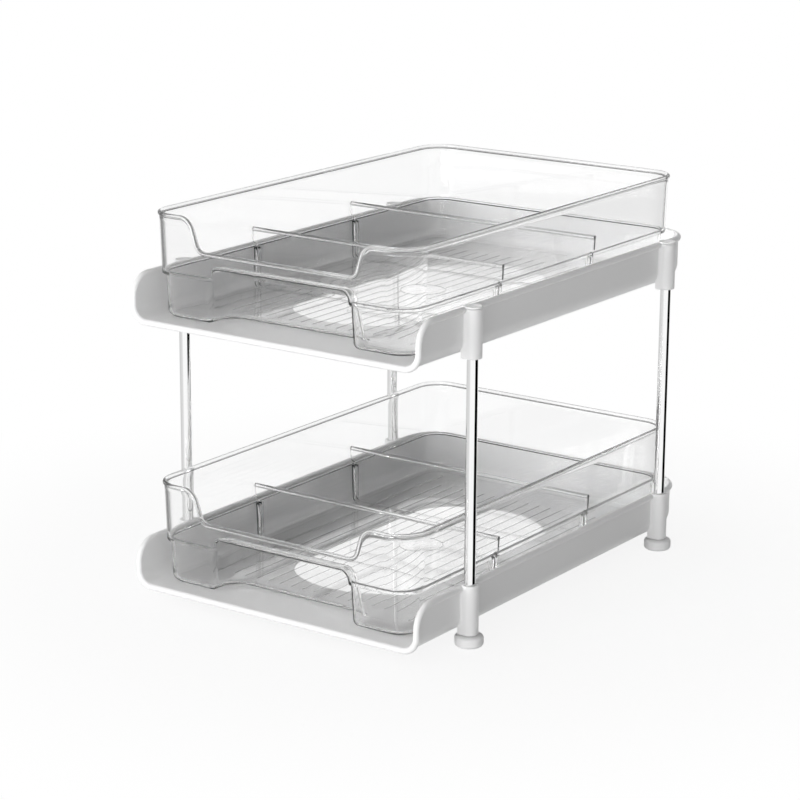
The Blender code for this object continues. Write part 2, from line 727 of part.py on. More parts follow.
def build_tier(name, lift, material, drawer_mesh, divider_mesh):
    """A drawer and its two dividers."""
    drawer = finished(name + "_drawer", drawer_mesh.copy(), material, (0, 0, DRAWER_BASE + lift))
    places = {"front": DIVIDER_FRONT_PLACE, "rear": DIVIDER_REAR_PLACE}
    for place, setback in places.items():
        location = (0, DRAWER_FRONT + setback, 0)
        finished(name + "_divider_" + place, divider_mesh.copy(), material, location, drawer)


clear_scene()
SHELF = new_collection("pull_out_two_tier_shelf")
TOOLS = new_collection("construction")
white = new_material("white_plastic", (0.86, 0.86, 0.86), 0.35)
soft_white = new_material("foot_plastic", (0.8, 0.8, 0.8), 0.5)
chrome = new_material("chrome", (0.82, 0.82, 0.84), 0.08, metallic=1.0)
clear = new_material("clear_plastic", (0.93, 0.94, 0.95), 0.04, transmission=1.0)
build_tray("lower_tray", white, upper=False)
build_tray("upper_tray", white, upper=True)
build_posts(chrome)
build_feet(soft_white)
build_caps(white)
drawer_body = build_drawer_mesh()
divider_body = build_divider_mesh()
build_tier("lower", 0, clear, drawer_body, divider_body)
build_tier("upper", TIER_PITCH, clear, drawer_body, divider_body)
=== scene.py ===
import math

import bmesh
import bpy
import numpy as np
from mathutils import Matrix, Vector


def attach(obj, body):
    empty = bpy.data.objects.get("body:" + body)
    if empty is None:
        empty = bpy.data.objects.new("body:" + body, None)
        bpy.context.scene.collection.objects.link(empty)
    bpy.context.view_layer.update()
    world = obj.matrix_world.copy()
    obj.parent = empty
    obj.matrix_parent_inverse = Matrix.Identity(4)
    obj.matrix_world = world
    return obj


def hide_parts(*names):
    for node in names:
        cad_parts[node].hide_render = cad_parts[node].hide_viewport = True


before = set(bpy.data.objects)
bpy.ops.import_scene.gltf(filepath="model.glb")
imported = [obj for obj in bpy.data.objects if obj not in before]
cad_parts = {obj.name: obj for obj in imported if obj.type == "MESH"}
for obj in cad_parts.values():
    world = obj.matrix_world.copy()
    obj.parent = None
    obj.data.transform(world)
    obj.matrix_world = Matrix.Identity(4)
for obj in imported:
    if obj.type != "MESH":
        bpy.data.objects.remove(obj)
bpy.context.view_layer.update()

MM = 0.001

# The photograph's viewpoint: a long lens from the front right, a little above the upper drawer.
# The place, turn and lens come from straight edges of the shelf in the picture.
CAMERA_PLACE = (1.0590, -1.5411, 0.6380)
CAMERA_AZIMUTH = math.radians(35.004)
CAMERA_ELEVATION = math.radians(15.251)
CAMERA_ROLL = math.radians(0.338)
CAMERA_LENS = 117.73
CAMERA_SENSOR = 36.0


def camera_turn(azimuth, elevation, roll):
    """Columns are the picture's right, its up and the way back to the camera, after a small roll."""
    right = np.array([math.cos(azimuth), math.sin(azimuth), 0.0])
    flat_back = np.array([math.sin(azimuth), -math.cos(azimuth), 0.0])
    back = math.cos(elevation) * flat_back + math.sin(elevation) * np.array([0.0, 0.0, 1.0])
    up = np.cross(back, right)
    turned_right = math.cos(roll) * right + math.sin(roll) * up
    turned_up = math.cos(roll) * up - math.sin(roll) * right
    return np.column_stack([turned_right, turned_up, back])


camera_data = bpy.data.cameras.new("camera")
camera_data.lens = CAMERA_LENS
camera_data.sensor_width = CAMERA_SENSOR
camera_data.clip_start = 0.05
camera_data.clip_end = 50.0
camera = bpy.data.objects.new("camera", camera_data)
bpy.context.scene.collection.objects.link(camera)
camera_matrix = Matrix(camera_turn(CAMERA_AZIMUTH, CAMERA_ELEVATION, CAMERA_ROLL).tolist()).to_4x4()
camera_matrix.translation = CAMERA_PLACE
camera.matrix_world = camera_matrix
bpy.context.scene.camera = camera
bpy.context.scene.view_settings.view_transform = "Standard"

# Light goes in and out of many clear walls before it reaches the trays and comes back.
for name, count in (("max_bounces", 32), ("transmission_bounces", 32), ("glossy_bounces", 8), ("diffuse_bounces", 5)):
    setattr(bpy.context.scene.cycles, name, count)

# The photographer's white cove: bright walls in front and on the left, a dimmer right side, back
# and ceiling. A black flag on the right draws the dark line into the posts, and narrow dark
# strips give the clear plastic its thin outlines. The rest of what is seen is plain white.
FRONT_LIGHT = 1.55
FRONT_RIGHT_LIGHT = 0.75
LEFT_LIGHT = 1.2
RIGHT_LIGHT = 0.34
RIGHT_BACK_LIGHT = 0.12
BACK_LIGHT = 0.8
CEILING_LIGHT = 0.4
SEEN_CEILING = 0.03
FLAG = 0.0
LOW_STRIP = 0.04
SIDE_STRIP = 0.2
INNER_LIGHT = 6.4


def node_at(tree, kind, **settings):
    """A new shader node with its settings."""
    node = tree.nodes.new(kind)
    for name, value in settings.items():
        setattr(node, name, value)
    return node


def feed(tree, socket, value):
    """Puts a number or another node's output into a socket."""
    if isinstance(value, (int, float)):
        socket.default_value = value
    else:
        tree.links.new(value, socket)


def maths(tree, operation, *values):
    """One Math node on sockets or numbers; gives its output."""
    node = node_at(tree, "ShaderNodeMath", operation=operation)
    for socket, value in zip(node.inputs, values):
        feed(tree, socket, value)
    return node.outputs[0]


def between(tree, share, first, second):
    """First where the share is 0, second where it is 1."""
    node = node_at(tree, "ShaderNodeMix", data_type="FLOAT")
    for socket, value in zip((node.inputs[0], node.inputs[2], node.inputs[3]), (share, first, second)):
        feed(tree, socket, value)
    return node.outputs[0]


def greys(tree, factor, stops):
    """A grey scale from (place, grey) stops."""
    node = node_at(tree, "ShaderNodeValToRGB")
    elements = node.color_ramp.elements
    while len(elements) < len(stops):
        elements.new(1.0)
    for element, (place, grey) in zip(elements, stops):
        element.position = place
        element.color = (grey, grey, grey, 1)
    tree.links.new(factor, node.inputs[0])
    return node.outputs[0]


def looks(tree):
    """1 for rays from the camera, for rays after clear plastic, for rays after a polished surface
    and for the light that reaches matt plastic through clear plastic."""
    path = node_at(tree, "ShaderNodeLightPath")
    unlit = maths(tree, "LESS_THAN", path.outputs["Diffuse Depth"], 0.5)
    lit = maths(tree, "SUBTRACT", 1.0, unlit)
    through = maths(tree, "MULTIPLY", path.outputs["Is Transmission Ray"], unlit)
    mirrored = maths(tree, "MULTIPLY", path.outputs["Is Glossy Ray"], unlit)
    inner = maths(tree, "MULTIPLY", path.outputs["Is Transmission Ray"], lit)
    return path.outputs["Is Camera Ray"], through, mirrored, inner


world = bpy.data.worlds.new("white_cove")
bpy.context.scene.world = world
world.use_nodes = True
sky = world.node_tree
sky.nodes.clear()
split = node_at(sky, "ShaderNodeSeparateXYZ")
sky.links.new(node_at(sky, "ShaderNodeTexCoord").outputs["Generated"], split.inputs[0])
# Bearings go from 0 at the back by 0.25 on the left, 0.5 in front and 0.75 on the right to 1.
bearing = maths(sky, "ARCTAN2", split.outputs["X"], maths(sky, "MULTIPLY", split.outputs["Y"], -1.0))
bearing = maths(sky, "MULTIPLY_ADD", bearing, 1 / math.tau, 0.5)
walls = greys(sky, bearing, [
    (0.0, BACK_LIGHT), (0.25, LEFT_LIGHT), (0.45, FRONT_LIGHT), (0.56, FRONT_LIGHT),
    (0.67, FRONT_RIGHT_LIGHT), (0.75, RIGHT_LIGHT), (0.9, RIGHT_BACK_LIGHT), (1.0, BACK_LIGHT),
])
height = greys(sky, split.outputs["Z"], [(0.4, 1.0), (0.8, CEILING_LIGHT)])
seen_height = greys(sky, split.outputs["Z"], [(0.3, 1.0), (0.5, SEEN_CEILING)])
clear_height = greys(sky, split.outputs["Z"], [
    (0.0, 1.0), (0.04, LOW_STRIP), (0.15, LOW_STRIP), (0.19, 1.0), (0.32, 1.0), (0.38, SEEN_CEILING),
])
mirror_walls = greys(sky, bearing, [
    (0.0, 0.95), (0.12, 0.95), (0.17, 0.62), (0.44, 0.75), (0.5, 1.0),
    (0.735, 1.0), (0.75, FLAG), (0.93, FLAG), (0.955, 0.9),
])
clear_walls = greys(sky, bearing, [
    (0.0, 1.0), (0.14, 1.0), (0.16, SIDE_STRIP), (0.23, SIDE_STRIP), (0.27, 0.85), (0.45, 0.85), (0.5, 1.0),
    (0.7, 1.0), (0.75, 0.75), (0.92, 0.75), (0.94, SIDE_STRIP), (0.99, SIDE_STRIP), (1.0, 1.0),
])
inner_walls = greys(sky, bearing, [
    (0.0, 0.3), (0.2, 0.4), (0.3, 1.7), (0.47, 1.7), (0.54, 0.75), (0.66, 0.12), (0.8, 0.05), (1.0, 0.3),
])
inner_height = greys(sky, split.outputs["Z"], [(0.3, 1.0), (0.7, 0.25)])
direct, through, mirrored, inner = looks(sky)
outer_light = maths(sky, "MULTIPLY", walls, height)
inner_light = maths(sky, "MULTIPLY", maths(sky, "MULTIPLY", inner_walls, inner_height), INNER_LIGHT)
strength = between(sky, inner, outer_light, inner_light)
strength = between(sky, mirrored, strength, maths(sky, "MULTIPLY", mirror_walls, seen_height))
strength = between(sky, through, strength, maths(sky, "MULTIPLY", clear_walls, clear_height))
strength = between(sky, direct, strength, 1.0)
background = node_at(sky, "ShaderNodeBackground")
background.inputs["Color"].default_value = (1, 1, 1, 1)
sky.links.new(strength, background.inputs["Strength"])
sky.links.new(background.outputs[0], node_at(sky, "ShaderNodeOutputWorld").inputs["Surface"])


def soft_box(name, place, aim, size, power):
    """A flat lamp that faces a point."""
    data = bpy.data.lights.new(name, "AREA")
    data.shape = "RECTANGLE"
    data.size, data.size_y = size
    data.energy = power
    lamp = bpy.data.objects.new(name, data)
    bpy.context.scene.collection.objects.link(lamp)
    lamp.location = place
    lamp.rotation_mode = "QUATERNION"
    lamp.rotation_quaternion = (Vector(place) - Vector(aim)).to_track_quat("Z", "Y")


soft_box("front_box", place=(-0.7, -2.1, 0.9), aim=(0, 0, 0.15), size=(1.2, 1.0), power=8.0)
soft_box("low_box", place=(0.2, -1.5, 0.12), aim=(0, 0, 0.05), size=(1.6, 0.2), power=7.0)

# The floor is the same white sheet. It keeps a faint shadow near the shelf and runs out to the
# plain white of the background further off. Polished surfaces look past it at the cove's walls.
FLOOR_HALF = 3.0
FLOOR_GREY = 0.9
SHADOW_NEAR = 0.18
SHADOW_FAR = 0.5
SHADOW_SHARE = 0.12
floor_mesh = bpy.data.meshes.new("cove_floor")
corners = np.array([(-1, -1, 0), (1, -1, 0), (1, 1, 0), (-1, 1, 0)]) * FLOOR_HALF
floor_mesh.from_pydata(corners.tolist(), [], [(0, 1, 2, 3)])
cove_floor = bpy.data.objects.new("cove_floor", floor_mesh)
bpy.context.scene.collection.objects.link(cove_floor)
floor_paint = bpy.data.materials.new("cove_floor")
floor_paint.use_nodes = True
paint = floor_paint.node_tree
paint.nodes.clear()
matt = node_at(paint, "ShaderNodeBsdfDiffuse")
matt.inputs["Color"].default_value = (FLOOR_GREY, FLOOR_GREY, FLOOR_GREY, 1)
white = node_at(paint, "ShaderNodeEmission")
distance = node_at(paint, "ShaderNodeVectorMath", operation="LENGTH")
paint.links.new(node_at(paint, "ShaderNodeTexCoord").outputs["Object"], distance.inputs[0])
fade = node_at(paint, "ShaderNodeMapRange", interpolation_type="SMOOTHSTEP")
fade_ends = {"From Min": SHADOW_NEAR, "From Max": SHADOW_FAR, "To Min": 1 - SHADOW_SHARE, "To Max": 1.0}
for name, value in fade_ends.items():
    fade.inputs[name].default_value = value
paint.links.new(distance.outputs["Value"], fade.inputs["Value"])
direct, through, mirrored = looks(paint)[:3]


def mixed(tree, share, first, second):
    """A Mix Shader between two surfaces; gives its output."""
    node = node_at(tree, "ShaderNodeMixShader")
    for socket, value in zip(node.inputs, (share, first, second)):
        feed(tree, socket, value)
    return node.outputs[0]


seen = maths(paint, "MULTIPLY", maths(paint, "MAXIMUM", direct, through), fade.outputs["Result"])
sheet = mixed(paint, seen, matt.outputs[0], white.outputs[0])
sheet = mixed(paint, mirrored, sheet, node_at(paint, "ShaderNodeBsdfTransparent").outputs[0])
paint.links.new(sheet, node_at(paint, "ShaderNodeOutputMaterial").inputs["Surface"])
cove_floor.data.materials.append(floor_paint)

# The two white trays are moulded in one piece each: a pan with a large window in its floor, a
# thick rounded edge that runs round the rim, down both front corners and along the lip, and four
# sleeves for the posts. The plastic has a satin skin with a very fine orange peel.
TRAY_BASES = {"lower_tray": 8.5 * MM, "upper_tray": 204.5 * MM}
TRAY_HALF = 124.0 * MM
TRAY_DEEP = 184.0 * MM
TRAY_TALL = 36.2 * MM
EDGE_RADIUS = 2.35 * MM
WALL_OUTER = 1.9 * MM
WALL_INNER = 4.65 * MM
PLAN_RADIUS = 31.0 * MM
PAN_RADIUS = 13.8 * MM
FRONT_RADIUS = 17.5 * MM
WINDOW_HALF = 55.0 * MM
WINDOW_DEEP = 115.0 * MM
WINDOW_ROUND = (55.0 * MM, 43.0 * MM)
POST_SPOTS = {
    "front_left": (-125.0 * MM, -122.8 * MM), "front_right": (125.0 * MM, -122.8 * MM),
    "rear_left": (-125.0 * MM, 138.4 * MM), "rear_right": (125.0 * MM, 138.4 * MM),
}
SLEEVE_RADIUS = 6.5 * MM
SLEEVE_REACH = 5.5 * MM
SLEEVE_BLEND = 1.6 * MM
SLEEVE_TOPS = {"lower_tray": 36.0 * MM, "upper_tray": 34.5 * MM}
SLEEVE_STOPS = {"lower_tray": (3.9 * MM, 5.4 * MM), "upper_tray": (29.1 * MM, 30.6 * MM)}
BORE_RADIUS = 4.3 * MM
PLUG_BORE = 3.3 * MM
CAP_SEAT = 6.9 * MM
POST_STRETCH = 8.0 * MM


def grid_faces(rows, columns, wrap_rows=False, wrap_columns=False):
    """Quads between neighbouring points of a grid whose points are counted row by row."""
    index = np.arange(rows * columns).reshape(rows, columns)
    if wrap_rows:
        index = np.vstack([index, index[:1]])
    if wrap_columns:
        index = np.hstack([index, index[:, :1]])
    quads = np.stack([index[:-1, :-1], index[:-1, 1:], index[1:, 1:], index[1:, :-1]], axis=-1)
    return quads.reshape(-1, 4).tolist()


def solid(name, parts, sharp=40.0):
    """A closed mesh object from (points, faces) parts, with doubles merged and faces turned out."""
    points, faces, count = [], [], 0
    for part_points, part_faces in parts:
        part_points = np.asarray(part_points).reshape(-1, 3)
        points.append(part_points)
        faces += [[count + corner for corner in face] for face in part_faces]
        count += len(part_points)
    mesh = bpy.data.meshes.new(name)
    mesh.from_pydata(np.concatenate(points).tolist(), [], faces)
    work = bmesh.new()
    work.from_mesh(mesh)
    bmesh.ops.remove_doubles(work, verts=work.verts, dist=3e-6)
    bmesh.ops.dissolve_degenerate(work, edges=work.edges, dist=1e-6)
    bmesh.ops.recalc_face_normals(work, faces=work.faces)
    work.to_mesh(mesh)
    work.free()
    mesh.shade_smooth()
    mesh.set_sharp_from_angle(angle=math.radians(sharp))
    piece = bpy.data.objects.new(name, mesh)
    bpy.context.scene.collection.objects.link(piece)
    return piece


def sweep(centre, radius, start, end, steps):
    """Points of a round stretch: centre plus radius times cosine and sine of even angles."""
    angle = np.radians(np.linspace(start, end, steps))
    return np.column_stack([centre[0] + radius * np.cos(angle), centre[1] + radius * np.sin(angle)])


def round_bar(path, radius, sides=24):
    """A closed round bar: each path point plus radius times two directions square to the path."""
    path = np.asarray(path)
    tangent = np.roll(path, -1, axis=0) - np.roll(path, 1, axis=0)
    tangent /= np.linalg.norm(tangent, axis=1, keepdims=True)
    side = np.cross(tangent, np.array([0.577, 0.577, 0.577]))
    side /= np.linalg.norm(side, axis=1, keepdims=True)
    other = np.cross(tangent, side)
    angle = np.linspace(0, math.tau, sides, endpoint=False)
    ring = np.cos(angle)[None, :, None] * side[:, None] + np.sin(angle)[None, :, None] * other[:, None]
    return path[:, None] + radius * ring, grid_faces(len(path), sides, wrap_rows=True, wrap_columns=True)


def pan_edge():
    """The thick edge's middle line: round the rim, down the front arcs and along the lip."""
    half, deep, top = TRAY_HALF - EDGE_RADIUS, TRAY_DEEP - EDGE_RADIUS, TRAY_TALL - EDGE_RADIUS
    corner, drop, turn = PLAN_RADIUS - EDGE_RADIUS, FRONT_RADIUS - EDGE_RADIUS, PAN_RADIUS - EDGE_RADIUS
    rim = sweep((half - corner, deep - corner), corner, 90, 0, 30)
    rim = np.column_stack([rim, np.full(len(rim), top)])
    spots = [y for x, y in POST_SPOTS.values() if x > 0]
    near = np.concatenate([np.linspace(y - POST_STRETCH, y + POST_STRETCH, 41) for y in spots])
    along = np.unique(np.concatenate([near, np.linspace(-150 * MM, 150 * MM, 13)]))[::-1]
    side = np.column_stack([np.full(len(along), half), along, np.full(len(along), top)])
    arch = sweep((-deep + drop, top - drop), drop, 90, 180, 24)
    arch = np.column_stack([np.full(len(arch), half), arch])
    turn_in = sweep((half - turn, EDGE_RADIUS + turn), turn, 0, -90, 20)
    turn_in = np.column_stack([turn_in[:, 0], np.full(len(turn_in), -deep), turn_in[:, 1]])
    right = np.concatenate([rim, side, arch, turn_in])
    return np.concatenate([right, right[::-1] * np.array([-1, 1, 1])])


def clear_of_posts(points, seat):
    """Holds points off the post's bore, and below the cap's seat. Inside the bore's circle a point
    goes sideways to the circle; inside the seat's circle it goes down to the seat."""
    for spot_x, spot_y in POST_SPOTS.values():
        along = points[..., 1] - spot_y
        side = np.sign(spot_x)
        across = points[..., 0] * side
        bore_face = abs(spot_x) - np.sqrt(np.clip(BORE_RADIUS ** 2 - along ** 2, 0, None))
        hit = (abs(along) < BORE_RADIUS) & (across > bore_face) & (across < abs(spot_x) + BORE_RADIUS)
        points[..., 0] = np.where(hit, bore_face * side, points[..., 0])
        if seat is not None:
            near = np.hypot(across - abs(spot_x), along) < CAP_SEAT
            points[..., 2] = np.where(near, np.minimum(points[..., 2], seat), points[..., 2])
    return points


def pan_plan():
    """The open plan line from the front right round the back to the front left, with the way in
    from it and the height of the wall there, which follows the round front corners."""
    cut = -TRAY_DEEP + EDGE_RADIUS + 0.2 * MM
    centre_x, centre_y = TRAY_HALF - PLAN_RADIUS, TRAY_DEEP - PLAN_RADIUS
    drop, full = FRONT_RADIUS - EDGE_RADIUS, TRAY_TALL - EDGE_RADIUS
    swing = np.radians(np.linspace(0, 90, 18))
    near = np.concatenate([np.linspace(y - 6 * MM, y + 6 * MM, 17) for x, y in POST_SPOTS.values() if x > 0])
    further = np.unique(np.concatenate([near, np.linspace(cut + drop, centre_y, 45)[1:]]))
    side_y = np.concatenate([cut + drop * (1 - np.cos(swing)), further])
    side_z = np.concatenate([full - drop + drop * np.sin(swing), np.full(len(further), full)])
    turn = np.radians(np.linspace(0, 90, 24))[1:-1]
    back_x = np.linspace(centre_x, -centre_x, 40)
    right = np.column_stack([np.full(len(side_y), TRAY_HALF), side_y])
    bend = np.column_stack([centre_x + PLAN_RADIUS * np.cos(turn), centre_y + PLAN_RADIUS * np.sin(turn)])
    back = np.column_stack([back_x, np.full(len(back_x), TRAY_DEEP)])
    mirror = np.array([-1, 1])
    plan = np.concatenate([right, bend, back, bend[::-1] * mirror, right[::-1] * mirror])
    inward_bend = -np.column_stack([np.cos(turn), np.sin(turn)])
    inward = np.concatenate([
        np.tile([-1.0, 0.0], (len(right), 1)), inward_bend, np.tile([0.0, -1.0], (len(back), 1)),
        inward_bend[::-1] * mirror, np.tile([1.0, 0.0], (len(right), 1)),
    ])
    top = np.concatenate([side_z, np.full(2 * len(turn) + len(back_x), full), side_z[::-1]])
    return plan, inward, top, side_y, back_x


def pan_skin(plan, inward, top, inset):
    """Rows of points from the rim down the wall, round the lower corner and in along the floor."""
    radius = PAN_RADIUS - inset
    wall = np.linspace(1, 0, 8)[:-1]
    bend = np.radians(np.linspace(0, 90, 16))
    depth = np.concatenate([np.full(len(wall), inset), inset + radius * (1 - np.cos(bend)), [PLAN_RADIUS]])
    low = np.concatenate([np.zeros(len(wall)), inset + radius * (1 - np.sin(bend)), [inset]])
    z = np.repeat(low[:, None], len(plan), axis=1)
    z[: len(wall)] = PAN_RADIUS + wall[:, None] * (top - PAN_RADIUS)
    xy = plan[None] + depth[:, None, None] * inward[None]
    return np.concatenate([xy, z[..., None]], axis=-1)


def window_ring(edge, inset, height):
    """The floor outline drawn in to a window with half-elliptic ends: each point keeps its bearing,
    and the stretch past the ellipse's centre is shortened to the ellipse."""
    half, deep = WINDOW_HALF + inset, WINDOW_DEEP + inset
    wide, long = WINDOW_ROUND[0] + inset, WINDOW_ROUND[1] + inset
    angle = np.arctan2(edge[:, 1] / deep, edge[:, 0] / half)
    reach = 1 / np.maximum(np.abs(np.cos(angle)), np.abs(np.sin(angle)))
    x, y = half * reach * np.cos(angle), deep * reach * np.sin(angle)
    over_x, over_y = (np.abs(x) - (half - wide)) / wide, (np.abs(y) - (deep - long)) / long
    rounded = (over_x > 0) & (over_y > 0)
    bearing = np.arctan2(over_y, over_x)
    x = np.where(rounded, np.sign(x) * (half - wide + wide * np.cos(bearing)), x)
    y = np.where(rounded, np.sign(y) * (deep - long + long * np.sin(bearing)), y)
    return np.column_stack([x, y, np.full(len(edge), height)])


def pan_parts(seat):
    """The pan as an inner and an outer skin, with a flat floor between them and the window."""
    plan, inward, top, side_y, back_x = pan_plan()
    inner = pan_skin(plan, inward, top, WALL_INNER)
    outer = pan_skin(plan, inward, top, WALL_OUTER)
    band = clear_of_posts(np.concatenate([inner[::-1], outer]), seat)
    rows, columns = band.shape[:2]
    caps = [[row * columns + end for row in range(rows)] for end in (0, columns - 1)]
    side_x, back_y, cut = back_x[0], TRAY_DEEP - PLAN_RADIUS, side_y[0]
    across = np.linspace(-side_x, side_x, 40)
    right = np.column_stack([np.full(len(side_y), side_x), side_y])
    left = right[::-1] * np.array([-1, 1])
    back = np.column_stack([back_x[1:-1], np.full(len(back_x) - 2, back_y)])
    front = np.column_stack([across[1:-1], np.full(len(across) - 2, cut)])
    edge = np.concatenate([right, back, left, front])
    middle, radius = (WALL_INNER + WALL_OUTER) / 2, (WALL_INNER - WALL_OUTER) / 2
    rings = [np.column_stack([edge, np.full(len(edge), WALL_INNER)])]
    for angle in np.radians(np.linspace(90, -90, 11)):
        rings.append(window_ring(edge, radius * (1 - math.cos(angle)), middle + radius * math.sin(angle)))
    rings.append(np.column_stack([edge, np.full(len(edge), WALL_OUTER)]))
    heights = (WALL_INNER, WALL_OUTER)
    lip = [np.column_stack([across, np.full(len(across), cut), np.full(len(across), z)]) for z in heights]
    return [
        (band, grid_faces(rows, columns) + caps),
        (np.array(rings), grid_faces(len(rings), len(edge), wrap_columns=True)),
        (np.array(lip), grid_faces(2, len(across))),
    ]


def sleeve_level(height, inset):
    """Outline of a right-hand sleeve: a half circle, straight sides to the pan, and a small round
    blend where they meet its wall. Under the pan the blend fades out at the sleeve's inner end."""
    curve_radius = PAN_RADIUS - WALL_OUTER
    below = min(max(PAN_RADIUS - height, 0), curve_radius)
    wall = TRAY_HALF - WALL_OUTER - curve_radius + math.sqrt(curve_radius ** 2 - below ** 2)
    wall -= POST_SPOTS["front_right"][0]
    inner_end = -SLEEVE_REACH + inset
    share = min(max((wall - inner_end) / (1.5 * MM), 0), 1)
    blend = SLEEVE_BLEND * share
    meet = max(wall, inner_end)
    radius = SLEEVE_RADIUS - inset
    side = sweep((0, 0), radius, 0, 90, 17)
    join = sweep((meet + blend, radius + blend), blend, -90, -180, 7)
    end = [(meet - 0.8 * MM * share, radius + blend), (meet - 0.8 * MM * share, 0)]
    half = np.concatenate([side, join, end])
    outline = np.concatenate([half[:-1], half[:0:-1] * np.array([1, -1])])
    return np.column_stack([outline, np.full(len(outline), height)])


def sleeve_circle(outline, radius, height):
    """A circle whose points lie at the bearings of an outline's points."""
    bearing = np.arctan2(outline[:, 1], outline[:, 0])
    return np.column_stack([radius * np.cos(bearing), radius * np.sin(bearing), np.full(len(outline), height)])


def sleeve_part(spot, tray_name):
    """One sleeve as a closed body, from the end of its lower hole down and out to the side and up
    to the end of its upper hole. The post's bore is on top in the lower tray and below in the upper."""
    bores = (BORE_RADIUS, PLUG_BORE) if tray_name == "upper_tray" else (PLUG_BORE, BORE_RADIUS)
    low, high = zip(bores, SLEEVE_STOPS[tray_name])
    top = SLEEVE_TOPS[tray_name]
    levels = [(0, 0.9 * MM), (0.15 * MM, 0.45 * MM), (0.45 * MM, 0.15 * MM), (0.9 * MM, 0)]
    levels += [(height, 0) for height in np.linspace(1.5 * MM, top - 0.4 * MM, 24)] + [(top, 0.3 * MM)]
    walls = [sleeve_level(height, inset) for height, inset in levels]
    first, last = walls[0], walls[-1]
    rows = [first * 0 + [0, 0, low[1]], sleeve_circle(first, *low), sleeve_circle(first, low[0], 0)]
    rows += walls
    rows += [sleeve_circle(last, high[0], top), sleeve_circle(last, *high), last * 0 + [0, 0, high[1]]]
    points = np.array(rows)
    points[..., 0] = spot[0] + points[..., 0] * np.sign(spot[0])
    points[..., 1] += spot[1]
    return points, grid_faces(len(rows), len(first), wrap_columns=True)


def tinted(tree, share, first, second):
    """A grey between two greys, for a base colour."""
    node = node_at(tree, "ShaderNodeMix", data_type="RGBA")
    node.inputs[6].default_value = (first, first, first, 1)
    node.inputs[7].default_value = (second, second, second, 1)
    tree.links.new(share, node.inputs[0])
    return node.outputs[2]


def moulded_plastic(name, colour, roughness, grain, relief):
    """Satin moulded plastic: a faint cloudiness in colour and gloss, and an orange-peel relief."""
    material = bpy.data.materials.new(name)
    material.use_nodes = True
    tree = material.node_tree
    shader = tree.nodes["Principled BSDF"]
    place = node_at(tree, "ShaderNodeTexCoord").outputs["Object"]
    cloud = node_at(tree, "ShaderNodeTexNoise")
    cloud.inputs["Scale"].default_value = 18.0
    cloud.inputs["Detail"].default_value = 2.0
    peel = node_at(tree, "ShaderNodeTexNoise")
    peel.inputs["Scale"].default_value = grain
    peel.inputs["Detail"].default_value = 3.0
    for noise in (cloud, peel):
        tree.links.new(place, noise.inputs["Vector"])
    tree.links.new(tinted(tree, cloud.outputs["Fac"], colour - 0.012, colour + 0.012), shader.inputs["Base Color"])
    tree.links.new(between(tree, peel.outputs["Fac"], roughness - 0.06, roughness + 0.06), shader.inputs["Roughness"])
    bump = node_at(tree, "ShaderNodeBump")
    bump.inputs["Strength"].default_value = relief
    bump.inputs["Distance"].default_value = 0.0002
    tree.links.new(peel.outputs["Fac"], bump.inputs["Height"])
    tree.links.new(bump.outputs["Normal"], shader.inputs["Normal"])
    shader.inputs["IOR"].default_value = 1.48
    return material


white_plastic = moulded_plastic("white_plastic", colour=0.8, roughness=0.36, grain=900.0, relief=0.12)
for name, base in TRAY_BASES.items():
    seat = SLEEVE_TOPS[name] if name == "upper_tray" else None
    edge_points, edge_faces = round_bar(pan_edge(), EDGE_RADIUS)
    parts = pan_parts(seat) + [(clear_of_posts(edge_points, seat), edge_faces)]
    parts += [sleeve_part(spot, name) for spot in POST_SPOTS.values()]
    parts = [(np.asarray(points) + np.array([0, 0, base]), faces) for points, faces in parts]
    tray = solid(name + "_moulding", parts)
    tray.data.materials.append(white_plastic)
    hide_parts(name)
    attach(tray, "frame")

# The posts are thin bright steel tubes. They stand between the stops of the two trays' sleeves
# and show a polished surface with a trace of the drawing lines along them.
POST_BOTTOM = TRAY_BASES["lower_tray"] + 5.7 * MM
POST_TOP = TRAY_BASES["upper_tray"] + 28.8 * MM
POST_OUTER = 4.0 * MM
POST_INNER = 3.2 * MM
POST_EASE = 0.25 * MM


def turned_form(profile, spot, steps=72, ring=False):
    """A turned body: each (radius, height) of the profile carried round the upright at a spot."""
    profile = np.asarray(profile)
    angle = np.linspace(0, math.tau, steps, endpoint=False)
    x = spot[0] + profile[:, :1] * np.cos(angle)
    y = spot[1] + profile[:, :1] * np.sin(angle)
    z = np.repeat(profile[:, 1:], steps, axis=1)
    return np.stack([x, y, z], axis=-1), grid_faces(len(profile), steps, wrap_rows=ring, wrap_columns=True)


def polished_steel():
    """Bright plated steel, with fine lines along the tube in its gloss."""
    material = bpy.data.materials.new("bright_steel")
    material.use_nodes = True
    tree = material.node_tree
    shader = tree.nodes["Principled BSDF"]
    shader.inputs["Metallic"].default_value = 1.0
    place = node_at(tree, "ShaderNodeMapping")
    place.inputs["Scale"].default_value = (900.0, 900.0, 14.0)
    tree.links.new(node_at(tree, "ShaderNodeTexCoord").outputs["Object"], place.inputs["Vector"])
    lines = node_at(tree, "ShaderNodeTexNoise")
    lines.inputs["Scale"].default_value = 1.0
    tree.links.new(place.outputs["Vector"], lines.inputs["Vector"])
    tree.links.new(between(tree, lines.outputs["Fac"], 0.03, 0.09), shader.inputs["Roughness"])
    tree.links.new(tinted(tree, lines.outputs["Fac"], 0.93, 0.97), shader.inputs["Base Color"])
    return material


